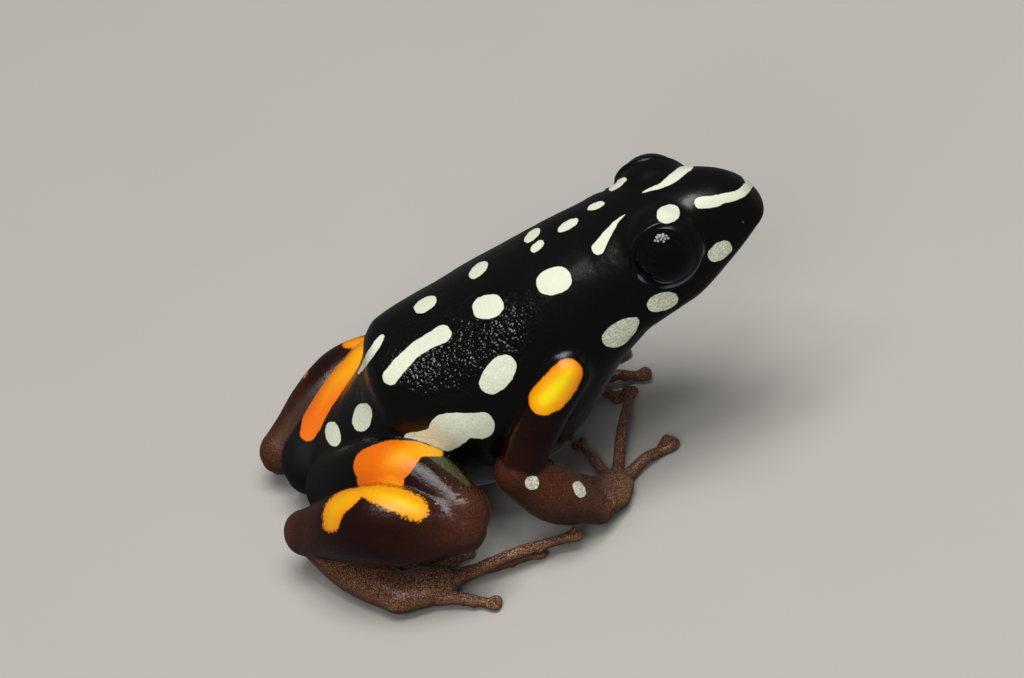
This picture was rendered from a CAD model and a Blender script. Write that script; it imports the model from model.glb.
"""The looks of a life-size brazil-nut poison frog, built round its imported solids.

The frog faces +X, its left side is +Y and the floor is z = 0. Shapes are worked out in
millimetres in that frame; put_in_scene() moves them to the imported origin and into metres.
"""

import math

import bmesh
import bpy
import numpy as np
from mathutils import Matrix, Vector, noise
from mathutils.bvhtree import BVHTree


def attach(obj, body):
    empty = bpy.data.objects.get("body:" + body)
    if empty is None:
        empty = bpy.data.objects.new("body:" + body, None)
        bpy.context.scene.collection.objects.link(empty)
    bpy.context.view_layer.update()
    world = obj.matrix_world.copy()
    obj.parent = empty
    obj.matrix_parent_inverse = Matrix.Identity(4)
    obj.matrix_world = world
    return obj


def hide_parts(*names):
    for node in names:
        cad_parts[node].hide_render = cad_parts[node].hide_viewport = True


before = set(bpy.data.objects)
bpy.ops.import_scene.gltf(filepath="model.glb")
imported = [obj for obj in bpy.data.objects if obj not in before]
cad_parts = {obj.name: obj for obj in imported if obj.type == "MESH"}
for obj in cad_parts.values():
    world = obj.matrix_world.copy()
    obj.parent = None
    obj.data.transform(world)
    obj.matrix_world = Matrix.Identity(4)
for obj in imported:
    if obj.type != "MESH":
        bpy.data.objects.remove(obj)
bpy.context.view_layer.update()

bl_info = {
    "name": "Brazil-nut poison frog looks",
    "version": (1, 0, 0),
    "blender": (4, 5, 0),
    "location": "3D View > Sidebar > Frog",
    "description": "Builds the skin, the eyes and the stage of a life-size poison frog model",
    "category": "Object",
}

MM = 0.001
ORIGIN = np.array([-0.273, 0.134, 0.0])

# The body leans up from the vent to the snout, 22 mm apart.
VENT = np.array([-9.50, 0.0, 2.14])
SNOUT = np.array([10.80, 0.0, 10.72])
AXIS = (SNOUT - VENT) / np.linalg.norm(SNOUT - VENT)
DORSAL = np.array([-AXIS[2], 0.0, AXIS[0]])
LATERAL = np.array([0.0, 1.0, 0.0])
FORWARD = np.array([1.0, 0.0, 0.0])
UP = np.array([0.0, 0.0, 1.0])
FLAT = np.array([1.0, 1.0, 0.0])

# Sections of the trunk and head, one row each: place along the body from the vent, height of
# the middle over the axis, half width, height above the middle, depth below it, squareness of
# the top, squareness of the bottom, how far down the mouth line runs, and strength of the lips.
BODY_SECTIONS = (
    (0.00, -0.10, 0.80, 0.30, 0.40, 2.1, 2.1, 0.35, 0.0),
    (0.70, -0.10, 1.60, 0.85, 1.00, 2.1, 2.1, 0.35, 0.0),
    (2.00, -0.10, 2.45, 1.60, 1.80, 2.2, 2.1, 0.35, 0.0),
    (4.00, -0.05, 3.05, 2.45, 2.95, 2.3, 2.2, 0.35, 0.0),
    (5.00, 0.00, 3.24, 3.16, 3.48, 2.3, 2.2, 0.35, 0.0),
    (5.60, 0.00, 3.36, 3.88, 3.76, 2.3, 2.2, 0.35, 0.0),
    (6.30, -0.05, 3.60, 4.26, 3.92, 2.3, 2.2, 0.35, 0.0),
    (8.00, -0.10, 4.15, 4.06, 4.15, 2.2, 2.2, 0.35, 0.0),
    (10.00, 0.00, 4.20, 3.80, 4.10, 2.2, 2.2, 0.35, 0.0),
    (12.00, 0.25, 3.75, 3.58, 3.50, 2.2, 2.2, 0.38, 0.0),
    (14.00, 0.50, 3.32, 3.27, 2.48, 2.3, 2.3, 0.42, 0.0),
    (15.20, 0.58, 3.18, 3.02, 1.98, 2.4, 2.4, 0.42, 0.0),
    (16.00, 0.60, 3.14, 2.90, 1.78, 2.4, 2.4, 0.40, 1.0),
    (18.00, 0.45, 2.78, 2.92, 1.78, 2.5, 2.4, 0.36, 1.0),
    (20.00, 0.25, 1.98, 2.62, 1.30, 2.7, 2.3, 0.36, 1.0),
    (21.20, 0.15, 1.38, 2.08, 0.90, 2.6, 2.2, 0.50, 1.0),
    (21.65, 0.10, 1.12, 1.68, 0.68, 2.4, 2.2, 0.80, 1.0),
    (21.93, 0.05, 0.88, 1.24, 0.48, 2.3, 2.2, 0.93, 0.0),
    (22.05, 0.02, 0.64, 0.84, 0.34, 2.2, 2.2, 0.93, 0.0),
    (22.12, 0.00, 0.30, 0.34, 0.18, 2.1, 2.1, 0.93, 0.0),
)
BODY_END = BODY_SECTIONS[-1][0]
BODY_RINGS = 150
BODY_SIDES = 112
# The rings stand closer at both ends: how much, over what length, and at what place.
BODY_CROWDING = ((2.2, 1.2, 0.0), (3.0, 0.9, BODY_END))
JAW_INSET = 0.07

# How forms are rounded: the smallest ring of a limb's end, how far its direction is measured, and
# the angle from the pole at which a ball's rings begin.
CAP_TIP = 0.15
TANGENT_SHARE = 0.03
BALL_END = 0.04

# The eyes, their lids, the nostrils and the eardrums.
EYES = {1: np.array([6.86, 1.80, 11.05]), -1: np.array([6.68, -1.88, 11.08])}
EYE_RADIUS = 1.40
EYE_LOOK = np.array([0.10, 0.95, 0.24])
LID_RADII = (1.68, 1.64, 1.605)
LID_SET_BACK = 0.42
LID_SET_FORWARD = 0.12
LID_EDGE_AT = 0.50
LID_EDGE_RADIUS = 1.355
LID_EDGE_THICK = 0.105
NOSTRIL_AT = 21.35
NOSTRIL_HEIGHT = 0.52
NOSTRIL_WIDTH, NOSTRIL_DEPTH, NOSTRIL_RIM = 0.10, 0.17, 0.012
EARDRUM_AT = 16.35
EARDRUM_HEIGHT = 1.30
EARDRUM_RADIUS = 0.55
EARDRUM_RIM, EARDRUM_DIP = 0.020, 0.012
# The clear front of an eye bulges over shares of its radius, and a groove runs round it.
CLEAR_FRONT, CLEAR_BULGE = (0.55, 0.95), 0.012
GROOVE_AT, GROOVE_WIDTH, GROOVE_DEPTH = 0.5, 0.1, 0.008
IRIS_EDGE, PUPIL_EDGE = (0.55, 0.75), (0.88, 0.95)

# Joints of the limbs. Both are written as if on the left; the right side is turned over, and its
# shoulder and elbow are the left's.
LEFT = {
    "hip": (-9.10, 1.20, 1.98),
    "thigh_middle": (-5.80, 3.40, 3.45),
    "knee": (-3.75, 5.30, 3.15),
    "below_knee": (-3.80, 5.75, 2.60),
    "shank_middle": (-7.15, 5.05, 2.15),
    "heel": (-10.56, 2.78, 1.48),
    "instep": (-7.00, 6.40, 0.72),
    "shoulder": (1.82, 3.45, 7.55),
    "elbow": (-1.10, 4.95, 4.35),
    "wrist": (1.37, 4.48, 0.96),
    "palm": (2.10, 3.35, 0.50),
    "fingers": ((1.55, 1.95, 0.21), (3.20, 2.35, 0.21), (4.45, 3.15, 0.21), (3.75, 4.65, 0.21)),
    "toes": (
        (-5.20, 4.20, 0.21),
        (-4.20, 4.55, 0.21),
        (-1.25, 5.60, 0.21),
        (0.10, 5.75, 0.70),
        (-3.50, 7.75, 0.21),
    ),
}
RIGHT = {
    **LEFT,
    "hip": (-8.20, 1.45, 2.75),
    "thigh_middle": (-5.45, 3.65, 4.32),
    "knee": (-3.60, 5.90, 3.95),
    "below_knee": (-3.75, 6.55, 3.60),
    "shank_middle": (-6.55, 5.72, 4.04),
    "heel": (-10.02, 2.90, 2.08),
    "instep": (-6.90, 6.25, 0.72),
    "wrist": (1.52, 4.55, 0.94),
    "palm": (2.42, 3.02, 0.50),
    "fingers": ((0.45, 1.75, 0.21), (1.46, 0.20, 0.21), (3.84, -1.66, 0.60), (4.72, 1.42, 0.21)),
    "toes": (
        (-5.20, 4.20, 0.21),
        (-4.20, 4.55, 0.21),
        (-1.38, 5.45, 0.21),
        (0.16, 5.50, 0.70),
        (-3.56, 7.48, 0.21),
    ),
}
POSES = {1: LEFT, -1: RIGHT}
JOINTS = [name for name in LEFT if name not in ("fingers", "toes")]
# How the middles of some limbs stand out from the straight line between their joints.
ANKLE_BULGE = (-0.10, 0.12, -0.38)
ANKLE_LOWEST = 0.88
UPPER_ARM_BULGE = (0.15, -0.05, 0.40)
FOREARM_BULGE = (-0.10, 0.10, -0.10)
# Half width and half depth of each limb at its start, middle and end.
LIMB_SIZES = {
    "thigh": ((1.56, 1.50), (1.62, 1.80), (1.12, 1.22)),
    "shank": ((0.92, 1.00), (1.50, 1.78), (0.94, 1.00)),
    "tarsus": ((0.80, 0.78), (0.86, 0.84), (0.90, 0.70)),
    "upper_arm": ((1.00, 1.00), (0.94, 0.96), (0.88, 0.90)),
    "forearm": ((0.95, 0.98), (1.20, 1.18), (0.72, 0.66)),
}
# Hands and feet: sections of the palm and sole, the thick and thin ends of the digits, their pads
# and how far each digit arches, and where their knuckles and the knots on them lie.
PALM_SIZES = ((0.78, 0.60), (0.94, 0.54), (0.84, 0.42))
SOLE_SIZES = ((0.92, 0.70), (0.96, 0.66), (0.74, 0.52))
SOLE_PLACES = ((0.10, 0.70), (0.95, 0.66), (1.75, 0.56))
FINGER_THICK = (0.29, 0.19)
TOE_THICK = (0.30, 0.21)
PAD_WIDTH = 0.37
PAD_AHEAD = 0.35
FINGER_PADS = (PAD_WIDTH, PAD_WIDTH, PAD_WIDTH, PAD_WIDTH * 1.22)
TOE_PAD = 0.36
FINGER_ARCHES = (0.14, 0.14, 0.20, 0.20)
FINGER_ROOT_AND_KNUCKLE = (0.10, 0.95)
KNUCKLE_HEIGHT = 0.40
HEEL_OF_HAND_HEIGHT = 0.54
KNOT_LENGTH = 0.26
KNOT_DROP = 0.04
KNOT_SWELL = (1.32, 1.15)
TOE_KNUCKLE = 1.1
TOE_KNUCKLE_RISE = 0.6
TOE_ROOTS = (
    (0.15, -0.52, 0.40),
    (0.75, -0.45, 0.42),
    (1.45, -0.22, 0.44),
    (1.60, 0.20, 0.55),
    (0.95, 0.45, 0.42),
)
TOE_ARCHES = (0.10, 0.12, 0.02, 0.22, 0.14)

# The pad of a digit, cut across: how far ahead of its middle, half width and half height.
PAD_CUTS = (
    (-0.46, 0.17, 0.17),
    (-0.26, 0.23, 0.18),
    (-0.06, 0.32, 0.19),
    (0.12, 0.37, 0.19),
    (0.26, 0.36, 0.17),
    (0.36, 0.28, 0.13),
    (0.42, 0.14, 0.07),
)
# The shields on a pad: how far ahead, to each side and up they lie, their radii, and their turn.
SHIELD_AT = (0.13, 0.165, 0.135)
SHIELD_RADII = np.array([0.20, 0.135, 0.095])
SHIELD_TURN = 0.25

# How brown each limb is along its way: 0 is black and 1 the pale feet.
TONES = {
    "body": (0.0, 0.0),
    "thigh": (0.0, 0.0, 0.38, 0.62),
    "shank": (0.62, 0.38, 0.66),
    "tarsus": (0.72, 0.84, 0.94),
    "upper_arm": (0.06, 0.30, 0.44),
    "forearm": (0.52, 0.68, 0.84),
    "hand": (0.94, 1.0),
    "foot": (0.96, 1.0),
}

# Where the picture's camera stands: angles round and above the frog, roll, pixels per
# millimetre, the middle of the picture and the distance in millimetres.
AZIMUTH, ELEVATION, ROLL = 0.0407161, 0.7376235, -0.283187
PIXELS_PER_MM = 24.94136
SHIFT = (5.4012, 14.2986)
DISTANCE = 180.0
TARGET = np.array([0.0, 0.0, 6.0])
PICTURE = (1024, 678)
SENSOR = 36.0

# Marks as they lie in the picture, in pixels: an oval is (across, down, half length, half width,
# degrees by which it rises to the right), and anything else a chain of (across, down, half
# width). Each group is headed by the side it is on, the forms it may lie on, and how granular
# it is. The near side is the one in the picture.
CREAM_MARKS = {
    ("near", "body", 0.1): {
        "eyelid dot": (668.4, 213.8, 12.3, 9.6, 15),
    },
    ("near", "body", 0.0): {
        "comma behind the eye": (
            (625, 214.5, 0.8), (618.5, 220, 2.2), (611, 229, 4.0), (604, 239, 5.6), (598, 248.5, 6.8),
        ),
        "far comma": ((611.5, 189, 3.0), (618, 184, 4.2), (624.5, 179.5, 3.0)),
        "snout arc": (
            (700, 202.7, 6.3), (713.3, 201.6, 6.4), (724.4, 198.2, 5.5), (736.7, 194.9, 5.2),
            (745.6, 189.3, 5.5), (748.9, 183.3, 4.6), (746, 178.2, 3.4), (742.2, 175.6, 2.0),
        ),
        "crown bar": (
            (642, 192.5, 0.9), (650, 189.5, 2.4), (660, 186, 3.2), (668, 181.5, 4.6), (676, 176, 5.6),
            (683, 170.5, 5.2), (691, 167, 3.0),
        ),
        "first back spot": (596, 205.8, 9.8, 3.9, 21),
        "second back spot": (568, 225.3, 12.6, 4.6, 32),
        "left of the pair": (532, 235.4, 10.4, 5.0, 42),
        "right of the pair": (537.3, 246.3, 8.8, 4.8, 42),
        "middle back spot": (478.4, 270, 12.0, 5.9, 42),
        "hip spot": (425.3, 304.4, 13.0, 7.2, 32),
        "rump bar": ((382, 337, 3.4), (376, 346, 4.6), (368, 358, 3.9), (359, 373, 1.8)),
    },
    ("far", "body", 0.0): {
        "end of the far comma": ((609, 232, 4.0), (604, 239, 5.6), (598, 248.5, 6.8)),
        "far half of the snout arc": ((700, 202.7, 6.3), (713.3, 201.6, 6.4), (724.4, 198.2, 5.5)),
    },
    ("both", "body", 1.0): {
        "spot under the nostril": (719.7, 251.3, 14.0, 9.0, 35),
        "spot under the eye": (662.5, 302, 16.5, 9.6, 18),
        "spot at the jaw": ((611, 338.5, 9.5), (617, 335, 12.0), (626, 328.5, 10.5), (634.5, 322, 5.5)),
    },
    ("both", "body", 0.0): {
        "shoulder spot": (554, 281, 18.5, 14.0, 20),
        "side spot": (488, 306.8, 16.5, 12.6, 15),
    },
    ("both", "body", 0.2): {
        "loin bar": (
            (442.6, 334, 9.5), (428, 341.5, 8.2), (413.2, 351.8, 8.0), (401.5, 363.5, 8.4),
            (390.6, 376.8, 8.8),
        ),
    },
    ("both", "body", 0.3): {
        "flank spot": (498, 374.5, 23.0, 14.5, 50),
        "belly blob": ((481.5, 425.5, 13.8), (466, 425.5, 13.0), (455, 429, 17.0), (447, 432, 19.5)),
        "blob tail": ((445, 436, 15.0), (428, 438, 9.5), (408, 437, 4.5)),
    },
    ("both", "body thigh", 0.3): {
        "first groin spot": (362.3, 417.3, 15.0, 10.0, 80),
    },
    ("near", "body", 0.3): {
        "second groin spot": (333, 434, 13.0, 8.0, -80),
    },
    ("both", "upper_arm forearm", 1.4): {
        "elbow dot": (532, 482.7, 7.9, 7.6, 0),
    },
    ("both", "forearm", 1.0): {
        "wrist dot": (579.3, 489.5, 9.5, 6.3, -65),
    },
}

# Orange marks in the same way, headed by how yellow they are at their first point, at their last
# point, and how much more so a millimetre further in.
ORANGE_MARKS = {
    ("both", "upper_arm body", (0.1, 0.22, 1.25)): {
        "arm oval": ((568, 373, 14.5), (560, 384, 17.0), (551, 394, 17.5), (544, 400, 15.5)),
    },
    ("both", "thigh", (-0.2, 0.6, 0.3)): {
        "thigh patch": (
            (372, 466, 18.5), (388, 463, 22.0), (404, 455, 15.0), (420, 450, 7.5), (440, 453, 3.5),
        ),
    },
    ("both", "thigh", (-0.1, 0.15, 0.25)): {
        "lower thigh patch": ((375, 480, 18.0), (390, 480, 14.0)),
    },
    ("both", "shank", (0.22, 0.3, 0.9)): {
        "outer shank lobe": ((331, 524, 8.5), (333, 512, 10.5), (343, 501, 10.5), (356, 494, 6.5)),
        "inner shank lobe": (
            (362, 491, 5.5), (380, 494.5, 11.0), (398, 500, 14.0), (413, 507, 14.0), (417, 510, 12.0),
        ),
    },
    ("near", "thigh shank", (0.45, -0.3, 0.45)): {
        "far thigh patch": (
            (366, 348, 7.5), (358, 357, 8.5), (350, 367, 9.5), (335, 382, 12.5), (325, 400, 13.0),
            (314, 419, 11.0), (308, 433, 8.0),
        ),
    },
    ("near", "thigh shank", (0.15, 0.15, 0.6)): {
        "far knee patch": ((347, 344, 5.0), (356, 342.5, 7.5), (366, 345, 8.0)),
    },
}
GREEN_MARKS = {
    ("both", "thigh", 0.0): {
        "sliver": ((432, 456, 3.0), (440, 460, 4.5), (450, 467, 5.0), (460, 476, 4.0), (468, 484, 2.5)),
    },
}

# How far round the body the marks of the hidden side are turned away from the back, in degrees,
# at places along it: the row on the back lies a little to that side.
BACK_ROW_TURN = ((0, 48), (4, 46), (7, 38), (14, 36), (16, 24), (17.5, 12), (22, 14))
LIMB_TURNS = {"thigh": 45.0, "shank": 72.0}

# Where the skin glitters, as ovals in the picture: the flank and a streak on the arm. It fades in
# over shares of an oval's half width, and over how far the skin faces the camera.
GLITTER = ((462, 350, 98.0, 66.0, 25), (541, 428, 32.0, 13.0, 57))
GLITTER_EDGE = (-0.15, 0.7)
GLITTER_FACING = (-0.1, 0.3)

# Where folds at the joints are filled: place as if on the left, and radius. The skin round the
# hip is duller.
FOLDS = {
    "hip": ((-8.60, 1.50, 2.60), 2.3),
    "shoulder": ((2.20, 3.10, 7.60), 1.9),
    "knee": ((-3.55, 6.20, 3.90), 1.7),
}
DULL_HIP = (FOLDS["hip"][0], FOLDS["hip"][1] * 1.35)

# The lights as seen in the picture, with parts to its right, up and ahead, their distances and
# size in metres, the turn from lamp to lamp, how far the floor lies under the frog, half its
# width, and how near and far the camera sees.
KEY_TOWARD = (-0.145, 0.654, -0.742)
KEY_AWAY = 0.26
LAMP_TURN = 2.4
FILL_TOWARD = (-0.25, -0.05, -0.95)
FILL_AWAY = 0.5
FILL_SIZE = 0.3
FLOOR_DROP = -0.00002
FLOOR_HALF = 1.5
NEAREST, FARTHEST = 0.01, 10.0

# How the melted skin is worked: the shares by which a round smooths in and out again, how far a
# round lifts a fold, rounds between new normals, the last smoothing rounds, the rounds over which
# the depth of folds is measured, the core of a fold, rounds that even the skin out and blend its
# values, the fewest points it may have, and the parts round and behind the eyes.
SMOOTH_IN, SMOOTH_OUT = 0.50, 0.53
FOLD_RISE = 0.8
NORMALS_EVERY = 40
LAST_ROUNDS = 14
FOLD_ROUNDS = 22
FOLD_CORE = 0.55
EVEN_FIRST, EVEN_LAST = 6, 2
BLEND_TONES, BLEND_FORMS, BLEND_YELLOW, BLEND_GRAINS = 14, 10, 6, 4
LEAST_POINTS = 10000
EYE_FOLD_NEAR = (-2.6, -2.2)
EYE_FOLD_BEHIND = (-0.20, 0.05)

# The mouth line's reach along the body, where it fades in, its half width, and how near the
# middle it comes. Then the skin's swells: share of the relief, fineness and shift of each noise.
MOUTH_REACH = (15.6, 21.85)
MOUTH_FADE = (15.4, 16.6)
MOUTH_WIDTH = 0.085
MOUTH_MIDDLE = -0.02
SWELLS = ((1.0, 0.9, 0.0), (0.5, 2.3, 7.0), (0.22, 5.5, 31.0))
SNOUT_CALM = 0.85

# How marks lie on the skin: how squarish ovals are, how far outside them their edge still counts,
# how far from a mark's middle line skin is reached on the near and the far side, how far it may
# face away, and how marks end at the border of their forms.
OVAL_POWER = 2.3
MARK_EDGE = -0.4
MARK_REACH = (0.35, 0.95)
MARK_FACING = 0.25
LIMIT_SLOPE = 0.33
LIMIT_END = (0.70, 0.98)
LIMIT_OVER = 0.06
BACK_ROW_FADE = (0.95, 2.3)
LIMB_REACH = 1.35
LID_LINE_AHEAD = 0.06
LID_LINE_WIDTH = 0.085
LID_LINE_GAP = 0.02
LID_LINE_LOW = (0.05, 0.45)


def colour(title, words, value):
    """A colour that a user may change."""
    return bpy.props.FloatVectorProperty(
        name=title, description=words, subtype="COLOR", size=3, min=0.0, max=1.0, default=value
    )


def number(title, words, value, low, high, make=bpy.props.FloatProperty, **more):
    """A number that a user may change."""
    return make(name=title, description=words, default=value, min=low, max=high, **more)


def whole(title, words, value, low, high):
    """A whole number that a user may change."""
    return number(title, words, value, low, high, bpy.props.IntProperty)


def metres(title, words, value, low, high):
    """A length in metres that a user may change."""
    return number(title, words, value, low, high, unit="LENGTH")


def watts(title, words, value, low, high):
    """A light's power in watts that a user may change."""
    return number(title, words, value, low, high, unit="POWER")


class FrogSizes(bpy.types.PropertyGroup):
    """Sizes of the skin and its details, in millimetres."""

    skin_step: number("Skin step", "Spacing of the skin's points in millimetres", 0.055, 0.03, 0.2)
    crease_fill: whole("Crease fill", "How far all folds are rounded", 4, 0, 60)
    fold_fill: whole("Fold fill", "How far the folds at the joints are filled", 90, 0, 900)
    relief: number("Relief", "Height of the skin's uneven swells in millimetres", 0.017, 0.0, 0.2)
    grain: number("Grain", "Width of a grain of the skin in millimetres", 0.14, 0.05, 0.6)
    grain_height: number("Grain height", "Height of the skin's grains in millimetres", 0.016, 0.0, 0.1)
    lip_depth: number("Lip depth", "Depth of the mouth line in millimetres", 0.09, 0.0, 0.3)


class FrogColours(bpy.types.PropertyGroup):
    """Colours of the skin and eyes."""

    black: colour("Back", "The glossy black of the back and head", (0.0026, 0.0021, 0.0018))
    maroon: colour("Shanks", "The dark red-brown of the thighs and shanks", (0.018, 0.0030, 0.0014))
    umber: colour("Arms", "The brown of the arms and knees", (0.066, 0.017, 0.0065))
    chestnut: colour("Lower limbs", "The red-brown of the forearms and ankles", (0.080, 0.025, 0.009))
    fawn: colour("Feet", "The light brown of the hands and feet", (0.118, 0.043, 0.019))
    wine: colour("Undersides", "The deep red of the undersides of the limbs", (0.016, 0.0012, 0.0007))
    speck: colour("Specks", "The pale specks of the limbs", (0.52, 0.33, 0.22))
    cream: colour("Marks", "The cream of the spots and bars", (0.80, 0.82, 0.64))
    cream_shade: colour("Mark grain", "The shaded grain inside the marks", (0.44, 0.47, 0.37))
    orange: colour("Orange", "The deep orange of the limb patches", (0.88, 0.165, 0.002))
    amber: colour("Amber", "The amber between orange and yellow", (0.95, 0.41, 0.002))
    yellow: colour("Yellow", "The yellow in the middle of the patches", (0.96, 0.74, 0.005))
    green: colour("Green", "The green sliver on the thigh", (0.090, 0.105, 0.045))
    lid: colour("Lid line", "The blue-grey edge of the lower lid", (0.085, 0.112, 0.142))
    eye: colour("Eye", "The black of the eye", (0.0012, 0.0012, 0.0014))
    iris: colour("Iris", "The glimmer of the iris", (0.003, 0.006, 0.003))


class FrogStage(bpy.types.PropertyGroup):
    """The floor and the lights."""

    floor: colour("Floor", "The plain floor", (0.50, 0.475, 0.435))
    sky: colour("Surroundings", "The light from all round", (0.93, 0.95, 1.0))
    sky_strength: number("Surroundings strength", "How bright the surroundings are", 0.095, 0.0, 5.0)
    key_power: watts("Main light", "Power of the main lights together in watts", 0.56, 0.0, 50.0)
    key_size: metres("Main light size", "Width of each main light", 0.036, 0.005, 2.0)
    key_spread: metres("Main light spread", "Width of the group of main lights", 0.20, 0.0, 2.0)
    key_lamps: whole("Main lights", "How many there are", 15, 1, 60)
    fill_power: watts("Fill light", "Power of the fill light in watts", 0.75, 0.0, 50.0)


def unit(vector):
    """A vector of length one."""
    vector = np.asarray(vector, float)
    return vector / np.linalg.norm(vector)


def smooth_step(value, low, high):
    """From 0 at low to 1 at high without a corner."""
    share = np.clip((np.asarray(value, float) - low) / (high - low), 0, 1)
    return share * share * (3 - 2 * share)


def between(one, other, share):
    """A place on the way from one to another."""
    return one * (1 - share) + other * share


def on_side(points, side):
    """Points or directions written for the left, as they are on a side: 1 left, -1 right."""
    return np.asarray(points, float) * (1, side, 1)


def eye_look(side):
    """The way one eye looks."""
    return unit(on_side(EYE_LOOK, side))


def round_turns(count):
    """Angles of a whole turn in even steps."""
    return np.linspace(0, 2 * math.pi, count, endpoint=False)


def oval_ring(middle, across, up, wide, high, sides):
    """Points round an oval."""
    turn = round_turns(sides)
    return middle + np.outer(np.cos(turn) * wide, across) + np.outer(np.sin(turn) * high, up)


def distance(points, place):
    """How far points are from a place."""
    return np.linalg.norm(points - place, axis=1)


def along_body(points):
    """How far points lie from the vent, along the body."""
    return (points - VENT) @ AXIS


def bell(away, width, steepness=2):
    """1 where away is 0, and next to nothing well beyond the width."""
    return np.exp(-((np.abs(away) / width) ** steepness))


def neighbours(values, edges, near):
    """The mean of each point's neighbours, given the ends of all edges and how many there are."""
    if values.ndim > 1:
        return np.stack([neighbours(column, edges, near) for column in values.T], -1)
    one, two = edges
    count = len(near)
    return (np.bincount(one, values[two], count) + np.bincount(two, values[one], count)) / near


def read_rows(items, name, width, kind=float):
    """A vector of each item of a mesh, as rows."""
    rows = np.empty(len(items) * width, kind)
    items.foreach_get(name, rows)
    return rows.reshape(-1, width)


def finished_mesh(work, name):
    """A mesh of what has been worked out."""
    mesh = bpy.data.meshes.new(name)
    work.to_mesh(mesh)
    work.free()
    return mesh


class Sight:
    """The picture's camera: turns points of the frog into places in the picture and back."""

    ahead = np.array(
        [
            -math.sin(AZIMUTH) * math.cos(ELEVATION),
            math.cos(AZIMUTH) * math.cos(ELEVATION),
            -math.sin(ELEVATION),
        ]
    )
    level = np.array([math.cos(AZIMUTH), math.sin(AZIMUTH), 0.0])
    upright = np.cross(level, ahead)
    right = math.cos(ROLL) * level + math.sin(ROLL) * upright
    up = -math.sin(ROLL) * level + math.cos(ROLL) * upright
    eye = TARGET - DISTANCE * ahead

    @classmethod
    def place(cls, points):
        """Where points in millimetres lie in the picture."""
        away = np.asarray(points, float) - cls.eye
        scale = PIXELS_PER_MM * DISTANCE / (away @ cls.ahead)
        across = PICTURE[0] / 2 + SHIFT[0] + scale * (away @ cls.right)
        down = PICTURE[1] / 2 + SHIFT[1] - scale * (away @ cls.up)
        return np.stack([across, down], -1)

    @classmethod
    def toward(cls, right, up, ahead):
        """A direction given by its parts to the picture's right, up and ahead."""
        return right * cls.right + up * cls.up + ahead * cls.ahead

    @classmethod
    def ray(cls, across, down):
        """The direction in which a place in the picture lies."""
        scale = PIXELS_PER_MM * DISTANCE
        sideways = (across - PICTURE[0] / 2 - SHIFT[0]) / scale
        upwards = -(down - PICTURE[1] / 2 - SHIFT[1]) / scale
        return unit(cls.toward(sideways, upwards, 1.0))


def smooth_samples(keys, rows, places):
    """Rows of values at new places on a smooth curve through the keys that never overshoots."""
    keys = np.asarray(keys, float)
    rows = np.asarray(rows, float)
    steps = np.diff(keys)
    slopes = np.diff(rows, axis=0) / steps[:, None]
    before, after = slopes[:-1], slopes[1:]
    same = before * after > 0
    heavy = (2 * steps[1:] + steps[:-1])[:, None]
    light = (steps[1:] + 2 * steps[:-1])[:, None]
    mean = (heavy + light) / (heavy / np.where(same, before, 1) + light / np.where(same, after, 1))
    tangents = np.vstack([slopes[:1], np.where(same, mean, 0), slopes[-1:]])
    i = np.clip(np.searchsorted(keys, places) - 1, 0, len(steps) - 1)
    step = steps[i][:, None]
    u = (np.asarray(places, float) - keys[i])[:, None] / step
    return (
        (2 * u**3 - 3 * u**2 + 1) * rows[i]
        + (u**3 - 2 * u**2 + u) * step * tangents[i]
        + (3 * u**2 - 2 * u**3) * rows[i + 1]
        + (u**3 - u**2) * step * tangents[i + 1]
    )


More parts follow.
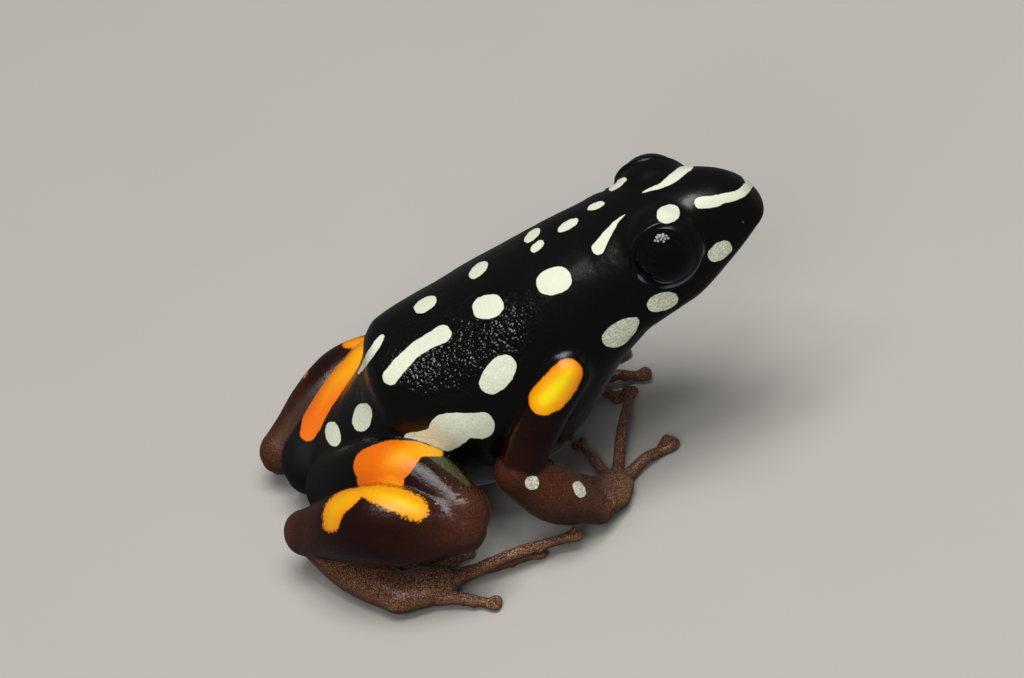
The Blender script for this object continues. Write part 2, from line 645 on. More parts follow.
class Flesh:
    """The closed forms that are melted into one skin, how brown each point is, and its kind."""

    def __init__(self):
        self.kind = "body"
        self.kinds = []
        self.verts = []
        self.faces = []
        self.tones = []
        self.count = 0

    def add(self, verts, faces, tones):
        """Add one closed form."""
        self.verts.append(np.asarray(verts, float))
        self.faces.extend([tuple(index + self.count for index in face) for face in faces])
        self.kinds.extend([self.kind] * len(faces))
        self.tones.append(np.broadcast_to(np.asarray(tones, float), (len(verts),)))
        self.count += len(verts)

    def loft(self, rings, tones, hoop=False):
        """Add a form over rings that have the same number of points, with closed ends or as a hoop."""
        count, sides = len(rings), len(rings[0])
        verts, faces = np.vstack(rings), []
        for r in range(count if hoop else count - 1):
            onward = ((r + 1) % count - r) * sides
            for s in range(sides):
                a, b = r * sides + s, r * sides + (s + 1) % sides
                faces.append((a, b, b + onward, a + onward))
        shares = np.linspace(0, len(tones) - 1, count)
        each = np.repeat(np.interp(shares, range(len(tones)), tones), sides)
        if not hoop:
            first, last, start = len(verts), len(verts) + 1, len(verts) - sides
            verts = np.vstack([verts, rings[0].mean(0), rings[-1].mean(0)])
            each = np.concatenate([each, [tones[0], tones[-1]]])
            for s in range(sides):
                following = (s + 1) % sides
                faces.append((following, s, first))
                faces.append((start + s, start + following, last))
        self.add(verts, faces, each)

    def sweep(self, points, sizes, tones, sides=40, rings=34, caps=9):
        """Add a limb with rounded ends: points of its centre line, and half its width and depth."""
        points, sizes = np.asarray(points, float), np.asarray(sizes, float)
        lengths = np.concatenate([[0], np.cumsum(np.linalg.norm(np.diff(points, axis=0), axis=1))])
        total = lengths[-1]
        cap = [1 - math.sin(math.pi / 2 * step / caps) for step in range(caps)]
        cap = [(max(CAP_TIP, math.sqrt(1 - out**2)), out) for out in cap]
        plan = [(0.0, scale, -out * sizes[0].mean()) for scale, out in cap]
        plan += [(place, 1.0, 0.0) for place in np.linspace(0, total, rings)[1:-1]]
        plan += [(total, scale, out * sizes[-1].mean()) for scale, out in reversed(cap)]
        places, scales, shifts = (np.array(column) for column in zip(*plan))
        nudge = total * TANGENT_SHARE
        line, ahead, behind = (
            smooth_samples(lengths, points, np.clip(places + step, 0, total)) for step in (0, nudge, -nudge)
        )
        size = smooth_samples(lengths, sizes, places) * scales[:, None]
        loops = []
        for i in range(len(places)):
            tangent = unit(ahead[i] - behind[i])
            across = unit(np.cross(UP, tangent))
            top = np.cross(tangent, across)
            loops.append(oval_ring(line[i] + tangent * shifts[i], across, top, *size[i], sides))
        self.loft(loops, tones)

    def ball(self, centre, radii, pole, forward, tone, segments=40, rings=24):
        """Add an ellipsoid whose third radius lies along the pole."""
        pole = unit(pole)
        side = unit(np.cross(pole, forward))
        front = np.cross(side, pole)
        loops = []
        for angle in np.linspace(BALL_END, math.pi - BALL_END, rings):
            middle = np.asarray(centre, float) + pole * radii[2] * math.cos(angle)
            wide = math.sin(angle)
            loops.append(oval_ring(middle, front, side, wide * radii[0], wide * radii[1], segments))
        self.loft(loops, (tone, tone))

    def torus(self, centre, pole, radius, thick, tone, segments=96, sides=16):
        """Add a hoop round a pole."""
        pole = unit(pole)
        side = unit(np.cross(pole, FORWARD))
        front = np.cross(side, pole)
        loops = []
        for turn in round_turns(segments):
            outward = front * math.cos(turn) + side * math.sin(turn)
            loops.append(oval_ring(centre + outward * radius, outward, pole, thick, thick, sides))
        self.loft(loops, (tone, tone), hoop=True)


def section_point(angle, width, up, down, top_power, low_power):
    """A point of a squarish oval at an angle: how far across and how far up."""
    cosine, sine = math.cos(angle), math.sin(angle)
    power = top_power if sine > 0 else low_power
    height = up if sine > 0 else down
    across = math.copysign(abs(cosine) ** (2 / power), cosine) * width
    return across, math.copysign(abs(sine) ** (2 / power), sine) * height


def body_values(along):
    """The section values of the trunk and head at a place along the body."""
    keys = [row[0] for row in BODY_SECTIONS]
    rows = [row[1:] for row in BODY_SECTIONS]
    return smooth_samples(keys, rows, [along])[0]


def body_point(along, height, left):
    """A point at a place along the body, so far over its axis and to its left."""
    return VENT + AXIS * along + DORSAL * height + LATERAL * left


def body_ring(along):
    """One section of the trunk and head, with the jaw set in a little under the lips."""
    centre, width, up, down, top_power, low_power, mouth, lip = body_values(along)
    corner = -math.asin(mouth ** (low_power / 2))
    jaw = 1 - JAW_INSET * lip / width
    points = []
    for angle in round_turns(BODY_SIDES) + corner:
        across, height = section_point(angle, width, up, down, top_power, low_power)
        inset = jaw if height < -down * mouth else 1.0
        points.append(body_point(along, centre + height, across * inset))
    return np.array(points)


def mouth_point(along, side):
    """Where the mouth line lies on one side at a place along the body."""
    centre, width, up, down, top_power, low_power, mouth, _ = body_values(along)
    corner = -math.asin(mouth ** (low_power / 2))
    across, height = section_point(corner, width, up, down, top_power, low_power)
    return body_point(along, centre + height, across * side)


def skin_point(along, height, side):
    """Where the body's skin is on one side, at a place along it and a height over its axis."""
    centre, width, up, down, top_power, low_power, _, _ = body_values(along)
    over = height - centre
    reach, bend = (up, top_power) if over > 0 else (down, low_power)
    part = max(0.0, 1 - abs(over / reach) ** bend) ** (1 / bend)
    return body_point(along, height, width * part * side)


def add_body(flesh):
    """The trunk and head as one form, and the eyelids with their rims."""
    dense = np.linspace(0, BODY_END, 400)
    pull = 1.0
    for strength, reach, end in BODY_CROWDING:
        pull = pull + strength * np.exp(-np.abs(dense - end) / reach)
    share = np.concatenate([[0], np.cumsum(pull[1:])])
    places = np.interp(np.linspace(0, share[-1], BODY_RINGS), share, dense)
    flesh.loft([body_ring(place) for place in places], TONES["body"])
    for side in (1, -1):
        look = eye_look(side)
        back = EYES[side] - look * LID_SET_BACK + FORWARD * LID_SET_FORWARD
        flesh.ball(back, LID_RADII, look, FORWARD, 0.0, 72, 48)
        flesh.torus(EYES[side] + look * LID_EDGE_AT, look, LID_EDGE_RADIUS, LID_EDGE_THICK, 0.0)


def limb_lines(pose, side):
    """The centre lines of one side's limbs, by name."""
    joint = {name: on_side(pose[name], side) for name in JOINTS}
    heel, instep, elbow, wrist = (joint[name] for name in ("heel", "instep", "elbow", "wrist"))
    ankle = between(heel, instep, 0.5) + on_side(ANKLE_BULGE, side)
    ankle[2] = max(ankle[2], ANKLE_LOWEST)
    upper_arm = between(joint["shoulder"], elbow, 0.5) + on_side(UPPER_ARM_BULGE, side)
    forearm = between(elbow, wrist, 0.45) + on_side(FOREARM_BULGE, side)
    return {
        "thigh": [joint["hip"], joint["thigh_middle"], joint["knee"]],
        "shank": [joint["below_knee"], joint["shank_middle"], heel],
        "tarsus": [between(heel, instep, 0.05), ankle, instep],
        "upper_arm": [joint["shoulder"], upper_arm, elbow],
        "forearm": [elbow, forearm, wrist],
    }


def add_pad(flesh, centre, onward, scale):
    """The flat fan-shaped pad at the tip of a digit, with two low shields on top."""
    aside = np.array([-onward[1], onward[0], 0.0])
    places = np.linspace(PAD_CUTS[0][0], PAD_CUTS[-1][0], 26)
    cuts = smooth_samples([cut[0] for cut in PAD_CUTS], [cut[1:] for cut in PAD_CUTS], places) * scale
    middles = centre + np.outer(places * scale, onward)
    flesh.loft([oval_ring(middle, aside, UP, *cut, 36) for middle, cut in zip(middles, cuts)], (1.0, 1.0))
    ahead, out, lift = SHIELD_AT
    for side in (1, -1):
        shield = centre + (onward * ahead + aside * side * out) * scale + UP * lift * scale
        flesh.ball(shield, SHIELD_RADII * scale, UP, onward + aside * side * SHIELD_TURN, 1.0, 24, 14)


def add_digit(flesh, start, knuckle, tip, thick, pad, arch):
    """A finger or toe with swellings at its joints and a pad at its tip."""
    wide, narrow = thick
    bend = between(start, tip, 0.58)
    bend[2] = max(bend[2], narrow * KNOT_SWELL[1]) + arch
    points = [start, between(start, knuckle, 0.5), knuckle, bend, between(tip, bend, 0.14), tip]
    sizes = [(half, half) for half in (wide, wide, wide * 0.9, narrow * 1.25, narrow, narrow)]
    flesh.sweep(points, sizes, (1.0, 1.0), 20, 40, 5)
    onward = unit((tip - bend) * FLAT)
    radii = (KNOT_LENGTH, narrow * KNOT_SWELL[0], narrow * KNOT_SWELL[1])
    for knot in (between(knuckle, bend, 0.30), between(bend, tip, 0.45)):
        flesh.ball(knot - UP * KNOT_DROP, radii, UP, onward, 1.0, 20, 12)
    add_pad(flesh, tip + onward * pad * PAD_AHEAD, onward, pad / PAD_WIDTH)


def add_hand(flesh, pose, side):
    """The hand, flat on the floor, with four fingers."""
    wrist, palm = on_side(pose["wrist"], side), on_side(pose["palm"], side)
    heel_of_hand = between(wrist, palm, 0.60)
    heel_of_hand[2] = HEEL_OF_HAND_HEIGHT
    points = [between(wrist, palm, 0.20), heel_of_hand, palm]
    flesh.sweep(points, PALM_SIZES, TONES["hand"], 32, 16, 6)
    for place, pad, arch in zip(pose["fingers"], FINGER_PADS, FINGER_ARCHES):
        tip = on_side(place, side)
        ahead = unit((tip - palm) * FLAT)
        root, knuckle = (palm + ahead * out for out in FINGER_ROOT_AND_KNUCKLE)
        root[2] = knuckle[2] = KNUCKLE_HEIGHT
        add_digit(flesh, root, knuckle, tip, FINGER_THICK, pad, arch)


def add_foot(flesh, pose, side):
    """The foot, flat on the floor, with five toes and no web."""
    instep = on_side(pose["instep"], side)
    middle = instep * FLAT
    forward = unit((on_side(pose["toes"][3], side) - instep) * FLAT)
    across = np.array([-forward[1], forward[0], 0.0]) * side
    points = [middle + forward * out + UP * height for out, height in SOLE_PLACES]
    flesh.sweep(points, SOLE_SIZES, TONES["foot"], 32, 16, 6)
    for place, (out, aside, height), arch in zip(pose["toes"], TOE_ROOTS, TOE_ARCHES):
        root = middle + forward * out + across * aside + UP * height
        tip = on_side(place, side)
        knuckle = root + unit((tip - root) * FLAT) * TOE_KNUCKLE
        knuckle[2] = height + arch * TOE_KNUCKLE_RISE
        add_digit(flesh, root, knuckle, tip, TOE_THICK, TOE_PAD, arch)


def all_flesh():
    """Every form of the frog but its eyes."""
    flesh = Flesh()
    add_body(flesh)
    for side, pose in POSES.items():
        for name, points in limb_lines(pose, side).items():
            flesh.kind = name
            flesh.sweep(points, LIMB_SIZES[name], TONES[name])
        flesh.kind = "hand"
        add_hand(flesh, pose, side)
        flesh.kind = "foot"
        add_foot(flesh, pose, side)
    return flesh


class Skin:
    """The melted skin as arrays of points, edges and faces, in millimetres."""

    def __init__(self, mesh):
        self.mesh = mesh
        self.count = len(mesh.vertices)
        self.points = read_rows(mesh.vertices, "co", 3)
        self.edges = read_rows(mesh.edges, "vertices", 2, np.int64).T
        self.near = np.bincount(self.edges.ravel(), minlength=self.count)

    def normals(self):
        """The normals at the points, which are put back into the mesh first."""
        self.mesh.vertices.foreach_set("co", self.points.ravel())
        self.mesh.update()
        return read_rows(self.mesh.vertex_normals, "vector", 3)

    def around(self, values):
        """The mean of each point's neighbours."""
        return neighbours(values, self.edges, self.near)

    def even_out(self, rounds):
        """Take out the steps of the melting without thinning the fingers."""
        for _ in range(rounds):
            self.points += (self.around(self.points) - self.points) * SMOOTH_IN
            self.points -= (self.around(self.points) - self.points) * SMOOTH_OUT

    def fill_creases(self, rounds):
        """Round all folds, and leave everything that bulges."""
        normals = self.normals()
        for _ in range(rounds):
            lift = ((self.around(self.points) - self.points) * normals).sum(1)
            self.points += normals * np.maximum(lift, 0)[:, None] * FOLD_RISE

    def fill_folds(self, rounds):
        """Fill the folds at the joints and round the eyes."""
        share = self.fold_share()
        inside = share > 0
        held = np.nonzero(inside)[0]
        number_in = np.full(self.count, -1)
        number_in[held] = np.arange(len(held))
        edges = number_in[self.edges[:, inside[self.edges].all(0)]]
        near = np.maximum(np.bincount(edges.ravel(), minlength=len(held)), 1)
        points, share = self.points[held], share[held]
        for each in range(rounds):
            if each % NORMALS_EVERY == 0:
                self.points[held] = points
                normals = self.normals()[held]
            lift = ((neighbours(points, edges, near) - points) * normals).sum(1)
            points = points + normals * (np.maximum(lift, 0) * FOLD_RISE * share)[:, None]
        self.points[held] = points
        for _ in range(LAST_ROUNDS):
            away = self.around(self.points)[held] - self.points[held]
            self.points[held] += away * SMOOTH_IN * share[:, None]

    def near_fold(self, place, radius):
        """How near points are to a place on either side, from 0 to 1."""
        aways = [distance(self.points, on_side(place, side)) for side in (1, -1)]
        return smooth_step(-np.minimum(*aways), -radius, -radius * FOLD_CORE)

    def fold_share(self):
        """Where the folds at the joints and round the eyes lie, from 0 to 1."""
        share = np.max([self.near_fold(place, radius) for place, radius in FOLDS.values()], axis=0)
        for side in (1, -1):
            near = smooth_step(-distance(self.points, EYES[side]), *EYE_FOLD_NEAR)
            behind = -((self.points - EYES[side]) @ eye_look(side))
            share = np.maximum(share, near * smooth_step(behind, *EYE_FOLD_BEHIND))
        return share

    def folds(self):
        """How deep each point lies in a fold, in millimetres."""
        smooth = self.points
        for _ in range(FOLD_ROUNDS):
            smooth = self.around(smooth)
        return ((smooth - self.points) * self.normals()).sum(1)

    def spread(self, values, rounds):
        """Blend values over the skin."""
        for _ in range(rounds):
            values = values * 0.4 + self.around(values) * 0.6
        return values


def melted(flesh, step):
    """One closed mesh over all the forms, how brown each of its points is, and its kind."""
    work, verts = bmesh.new(), np.vstack(flesh.verts)
    rough = bpy.data.meshes.new("forms")
    rough.from_pydata([tuple(v) for v in verts], [], flesh.faces)
    work.from_mesh(rough)
    bmesh.ops.recalc_face_normals(work, faces=work.faces)
    bpy.data.meshes.remove(rough)
    rough = finished_mesh(work, "forms")
    obj = bpy.data.objects.new("forms", rough)
    bpy.context.scene.collection.objects.link(obj)
    modifier = obj.modifiers.new("melt", "REMESH")
    modifier.mode = "VOXEL"
    modifier.voxel_size = step
    modifier.adaptivity = 0.0
    graph = bpy.context.evaluated_depsgraph_get()
    mesh = bpy.data.meshes.new_from_object(obj.evaluated_get(graph))
    tree = BVHTree.FromPolygons([Vector(v) for v in verts], flesh.faces)
    tones = np.concatenate(flesh.tones)
    skin = Skin(mesh)
    nearest = np.array([tree.find_nearest(Vector(point))[2] for point in skin.points])
    face_tones = np.array([tones[list(face)].mean() for face in flesh.faces])
    bpy.data.objects.remove(obj)
    bpy.data.meshes.remove(rough)
    return skin, face_tones[nearest], np.array(flesh.kinds)[nearest]


def press_details(skin, sizes):
    """The mouth line, the nostrils, the eardrums and the uneven swells of the skin."""
    normals, points = skin.normals(), skin.points
    sink = np.zeros(skin.count)
    fade = smooth_step(along_body(points), *MOUTH_FADE)
    for side in (1, -1):
        line = [(*mouth_point(along, side), 0.0) for along in np.linspace(*MOUTH_REACH, 40)]
        fade_here = fade * (points[:, 1] * side > MOUTH_MIDDLE)
        sink += bell(inside_chain(points, line)[0], MOUTH_WIDTH) * sizes.lip_depth * fade_here
        away = distance(points, skin_point(NOSTRIL_AT, NOSTRIL_HEIGHT, side))
        sink += bell(away, NOSTRIL_WIDTH) * NOSTRIL_DEPTH - bell(away - 0.22, 0.09) * NOSTRIL_RIM
        away = distance(points, skin_point(EARDRUM_AT, EARDRUM_HEIGHT, side))
        sink += bell(away - EARDRUM_RADIUS, 0.10) * EARDRUM_RIM + bell(away, 0.42, 4) * EARDRUM_DIP
    points -= normals * sink[:, None]
    swell = np.zeros(skin.count)
    for share, fineness, shift in SWELLS:
        swell += share * np.array([noise.noise(Vector(point * fineness + shift)) for point in points])
    calm = 1 - SNOUT_CALM * smooth_step(along_body(points), 17.0, 20.0)
    points += normals * (swell * sizes.relief * calm)[:, None]
    points[:, 2] = np.maximum(points[:, 2], 0.0)


def turn_about(vectors, axis, angles):
    """Vectors turned about an axis, each by its own angle in radians."""
    cosine, sine = np.cos(angles)[:, None], np.sin(angles)[:, None]
    along = (vectors @ axis)[:, None] * axis
    return along + (vectors - along) * cosine + np.cross(axis, vectors) * sine


def as_on_the_near_side(points, normals):
    """Points and normals of the hidden side, as they would be on the side in the picture."""
    turned, facing = on_side(points, -1), on_side(normals, -1)
    from_axis = turned - VENT
    round_body = np.abs(np.arctan2(from_axis[:, 1], from_axis @ DORSAL))
    angles = np.interp(along_body(turned), *zip(*BACK_ROW_TURN))
    angles = -np.radians(angles * (1 - smooth_step(round_body, *BACK_ROW_FADE)))
    moved, moved_facing = turn_about(from_axis, AXIS, angles) + VENT, turn_about(facing, AXIS, angles)
    left, right = limb_lines(LEFT, -1), limb_lines(RIGHT, -1)
    nearest = np.full(len(points), np.inf)
    for name in left:
        places = np.linspace(0, 1, 30)
        old, new = (smooth_samples([0, 0.5, 1], lines[name], places) for lines in (left, right))
        width = float(np.mean(LIMB_SIZES[name]))
        axis = unit(new[-1] - new[0])
        turn = math.radians(LIMB_TURNS.get(name, 0.0)) * (1 if axis[0] < 0 else -1)
        for one, other in zip(old, new):
            away = distance(turned, one) / width
            closer = np.nonzero((away < nearest) & (away < LIMB_REACH))[0]
            nearest[closer] = away[closer]
            twist = np.full(len(closer), turn)
            moved[closer] = other + turn_about(turned[closer] - one, axis, twist)
            moved_facing[closer] = turn_about(facing[closer], axis, twist)
    return moved, moved_facing


def inside_oval(places, oval):
    """How far picture places lie inside a slightly squarish oval, in pixels."""
    across, down, long, short, angle = oval
    cosine, sine = math.cos(math.radians(angle)), math.sin(math.radians(angle))
    away = places - (across, down)
    u = np.abs(away[:, 0] * cosine - away[:, 1] * sine) / long
    v = np.abs(away[:, 0] * sine + away[:, 1] * cosine) / short
    reach = (u**OVAL_POWER + v**OVAL_POWER + 1e-9) ** (1 / OVAL_POWER)
    slope = np.hypot(u / long, v / short) / np.maximum(np.hypot(u, v), 1e-6)
    return np.minimum((1 - reach) / np.maximum(slope, 1e-3), short)


def inside_chain(points, chain):
    """How far points lie inside a chain of places, each with a half width, and their share along it."""
    chain = np.asarray(chain, float)
    best, share_of = np.full(len(points), -np.inf), np.zeros(len(points))
    for i, (start, piece) in enumerate(zip(chain[:-1], np.diff(chain, axis=0))):
        from_start, along = points - start[:-1], piece[:-1]
        share = np.clip(from_start @ along / max(along @ along, 1e-9), 0, 1)
        inside = start[-1] + piece[-1] * share - distance(from_start, share[:, None] * along)
        share_of = np.where(inside > best, (i + share) / (len(chain) - 1), share_of)
        best = np.maximum(best, inside)
    return best, share_of


def smooth_chain(chain):
    """A chain with more points, on a smooth curve through its own."""
    keys = np.arange(len(chain))
    return smooth_samples(keys, chain, np.linspace(0, len(chain) - 1, (len(chain) - 1) * 5 + 1))


def how_granular(granular, depth, share):
    """A cream mark is as granular everywhere."""
    return granular


def how_yellow(values, depth, share):
    """An orange mark turns yellow along its way and inwards."""
    first, last, inward = values
    return first + (last - first) * share + inward * np.maximum(depth, 0)


TURNED = {"near": (False,), "far": (True,), "both": (False, True)}


class Marker:
    """Finds how far each point of the skin lies inside the marks of the picture."""

    def __init__(self, skin, normals, tree, kinds):
        self.skin = skin
        self.tree = tree
        self.kinds = kinds
        self.limits = {}
        moved, facing = as_on_the_near_side(skin.points, normals)
        self.sets = {
            False: (skin.points, Sight.place(skin.points), normals @ Sight.ahead),
            True: (moved, Sight.place(moved), facing @ Sight.ahead),
        }

    def hits(self, line):
        """Where the middle line of a mark meets the skin, or comes nearest to its outline."""
        points, places, _ = self.sets[False]
        found = []
        for across, down in line:
            hit = self.tree.ray_cast(Vector(Sight.eye), Vector(Sight.ray(across, down)))[0]
            if hit is None:
                hit = points[np.argmin(np.hypot(places[:, 0] - across, places[:, 1] - down))]
            found.append(np.array(hit))
        return np.array(found)

    def limit(self, forms):
        """How far inside the named forms points are, in millimetres, as far as the nearest ones."""
        if forms not in self.limits:
            inside = np.isin(self.kinds, forms.split()).astype(float)
            inside = self.skin.spread(inside, BLEND_FORMS)
            self.limits[forms] = (inside - 0.5) * LIMIT_SLOPE + smooth_step(inside, *LIMIT_END)
        return self.limits[forms]

    def depth(self, forms, mark, turned):
        """How deep points are inside a mark, in millimetres, and their share along it."""
        where, places, facing = self.sets[turned]
        share = np.zeros(len(where))
        if isinstance(mark[0], tuple):
            chain = smooth_chain(mark)
            inside, share = inside_chain(places, chain)
            line, wide = chain[:, :2], chain[:, 2].max()
        else:
            across, down, long, wide, angle = mark
            inside = inside_oval(places, mark)
            ahead = np.array([math.cos(math.radians(angle)), -math.sin(math.radians(angle))])
            line = [np.array([across, down]) + ahead * (long - wide) * part for part in np.linspace(-1, 1, 7)]
        inside = inside / PIXELS_PER_MM
        hits = self.hits(line)
        reach = wide / PIXELS_PER_MM * 1.5 + MARK_REACH[turned]
        close = np.nonzero(inside > MARK_EDGE)[0]
        out = np.full(len(where), -1.0)
        if len(close):
            away = np.min([distance(where[close], hit) for hit in hits], axis=0)
            value = inside[close] - np.maximum(0, away - reach)
            value = np.where(facing[close] > MARK_FACING, -1.0, value)
            out[close] = np.clip(np.minimum(value, self.limit(forms)[close] + LIMIT_OVER), -1.0, 1.0)
        return out, share

    def deepest(self, groups, shade):
        """Depth inside the deepest mark at each point, and its shade there."""
        best, kept = np.full(self.skin.count, -1.0), np.zeros(self.skin.count)
        for (sides, forms, values), marks in groups.items():
            for mark in marks.values():
                for turned in TURNED[sides]:
                    depth, share = self.depth(forms, mark, turned)
                    kept = np.where(depth > best, shade(values, depth, share), kept)
                    best = np.maximum(best, depth)
        return best, kept

    def glitter(self):
        """How far points lie in the parts that glitter, from 0 to 1."""
        best = np.zeros(self.skin.count)
        for where, places, facing in self.sets.values():
            for oval in GLITTER:
                share = smooth_step(inside_oval(places, oval) / oval[3], *GLITTER_EDGE)
                best = np.maximum(best, share * smooth_step(-facing, *GLITTER_FACING))
        return best


def lid_lines(points):
    """How far points are inside the pale edge of the lower lids, in millimetres."""
    best = np.full(len(points), -1.0)
    for side in (1, -1):
        look = eye_look(side)
        from_edge = points - EYES[side] - look * (LID_EDGE_AT + LID_LINE_AHEAD)
        along = from_edge @ look
        outward = from_edge - along[:, None] * look
        radius = np.linalg.norm(outward, axis=1)
        away = np.hypot(along, radius - LID_EDGE_RADIUS)
        low = smooth_step(-outward[:, 2] / np.maximum(radius, 1e-6), *LID_LINE_LOW)
        best = np.maximum(best, between(-LID_LINE_GAP, LID_LINE_WIDTH, low) - away)
    return best


def set_attribute(mesh, name, values):
    """Keep one number for each point of a mesh."""
    layer = mesh.attributes.new(name, "FLOAT", "POINT")
    layer.data.foreach_set("value", np.asarray(values, np.float32))


def put_in_scene(name, mesh, slot, *nodes):
    """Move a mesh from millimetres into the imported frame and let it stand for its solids."""
    mesh.transform(Matrix.Scale(MM, 4) @ Matrix.Translation(Vector(-ORIGIN)))
    mesh.shade_smooth()
    obj = bpy.data.objects.new(name, mesh)
    bpy.context.scene.collection.objects.link(obj)
    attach(obj, "root")
    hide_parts(*nodes)
    return obj


class Value:
    """A number in a shader. Sums written with it add the Math nodes."""

    def __init__(self, finish, socket):
        self.finish = finish
        self.socket = socket

    def math(self, operation, *others, **more):
        """One Math node on this value and others."""
        return self.finish.node("ShaderNodeMath", {"operation": operation, **more}, [self, *others])

    def __add__(self, other):
        return self.math("ADD", other)

    __radd__ = __add__

    def __sub__(self, other):
        return self.math("SUBTRACT", other)

    def __rsub__(self, other):
        return self.finish.node("ShaderNodeMath", {"operation": "SUBTRACT"}, [other, self])

    def __mul__(self, other):
        return self.math("MULTIPLY", other)

    def clamp(self):
        """The value kept between 0 and 1."""
        return self.math("ADD", 0.0, use_clamp=True)

    def step(self, low, high):
        """From 0 at low to 1 at high without a corner."""
        settings = {"interpolation_type": "SMOOTHSTEP"}
        inputs = {"Value": self, "From Min": low, "From Max": high}
        return self.finish.node("ShaderNodeMapRange", settings, inputs, "Result")


class Finish:
    """A material that is built from expressions."""

    def __init__(self, name):
        self.material = bpy.data.materials.new(name)
        self.material.use_nodes = True
        self.tree = self.material.node_tree
        self.shader = self.tree.nodes["Principled BSDF"]
        where = self.node("ShaderNodeTexCoord", {}, {}, "Object")
        self.place = self.node("ShaderNodeVectorMath", {"operation": "SCALE"}, {0: where, "Scale": 1 / MM})

    def node(self, kind, settings, inputs, output=0):
        """A node of any kind: its settings first, then the values or links of its sockets."""
        made = self.tree.nodes.new(kind)
        for key, value in settings.items():
            if key == "stops":
                ramp = made.color_ramp
                while len(ramp.elements) < len(value):
                    ramp.elements.new(1.0)
                for element, (place, shade) in zip(ramp.elements, value):
                    element.position = place
                    element.color = (*shade, 1.0)
            else:
                setattr(made, key, value)
        pairs = inputs.items() if isinstance(inputs, dict) else enumerate(inputs)
        for key, value in pairs:
            self.feed(made.inputs[key], value)
        return Value(self, made.outputs[output])

    def feed(self, socket, value):
        """Link or set one socket."""
        if isinstance(value, Value):
            self.tree.links.new(value.socket, socket)
        elif socket.type == "RGBA":
            socket.default_value = (*value, 1.0)
        else:
            socket.default_value = value

    def mix(self, share, one, other):
        """A colour between two others."""
        inputs = {"Factor": share, 6: one, 7: other}
        return self.node("ShaderNodeMix", {"data_type": "RGBA"}, inputs, 2)

    def noise(self, size, detail=2.0, roughness=0.5):
        """Cloudy noise whose swells are about size millimetres wide."""
        inputs = {"Vector": self.place, "Scale": 1 / size, "Detail": detail, "Roughness": roughness}
        return self.node("ShaderNodeTexNoise", {}, inputs, "Fac")

    def grains(self, size):
        """How far it is to the middle of a cell about size millimetres wide."""
        inputs = {"Vector": self.place, "Scale": 1 / size, "Randomness": 0.9}
        return self.node("ShaderNodeTexVoronoi", {"feature": "F1"}, inputs, "Distance")

    def attribute(self, name):
        """A number kept on the mesh's points."""
        return self.node("ShaderNodeAttribute", {"attribute_name": name}, {}, "Fac")

    def bump(self, height, depth, before=None):
        """A Bump node of a height in millimetres."""
        inputs = {"Strength": 1.0, "Distance": depth * MM, "Height": height}
        if before is not None:
            inputs["Normal"] = before
        return self.node("ShaderNodeBump", {}, inputs, "Normal")

    def set(self, **values):
        """Set or link sockets of the shader, named with _ for a space."""
        for key, value in values.items():
            self.feed(self.shader.inputs[key.replace("_", " ")], value)


WET = {"Specular_IOR_Level": 0.50, "IOR": 1.42}


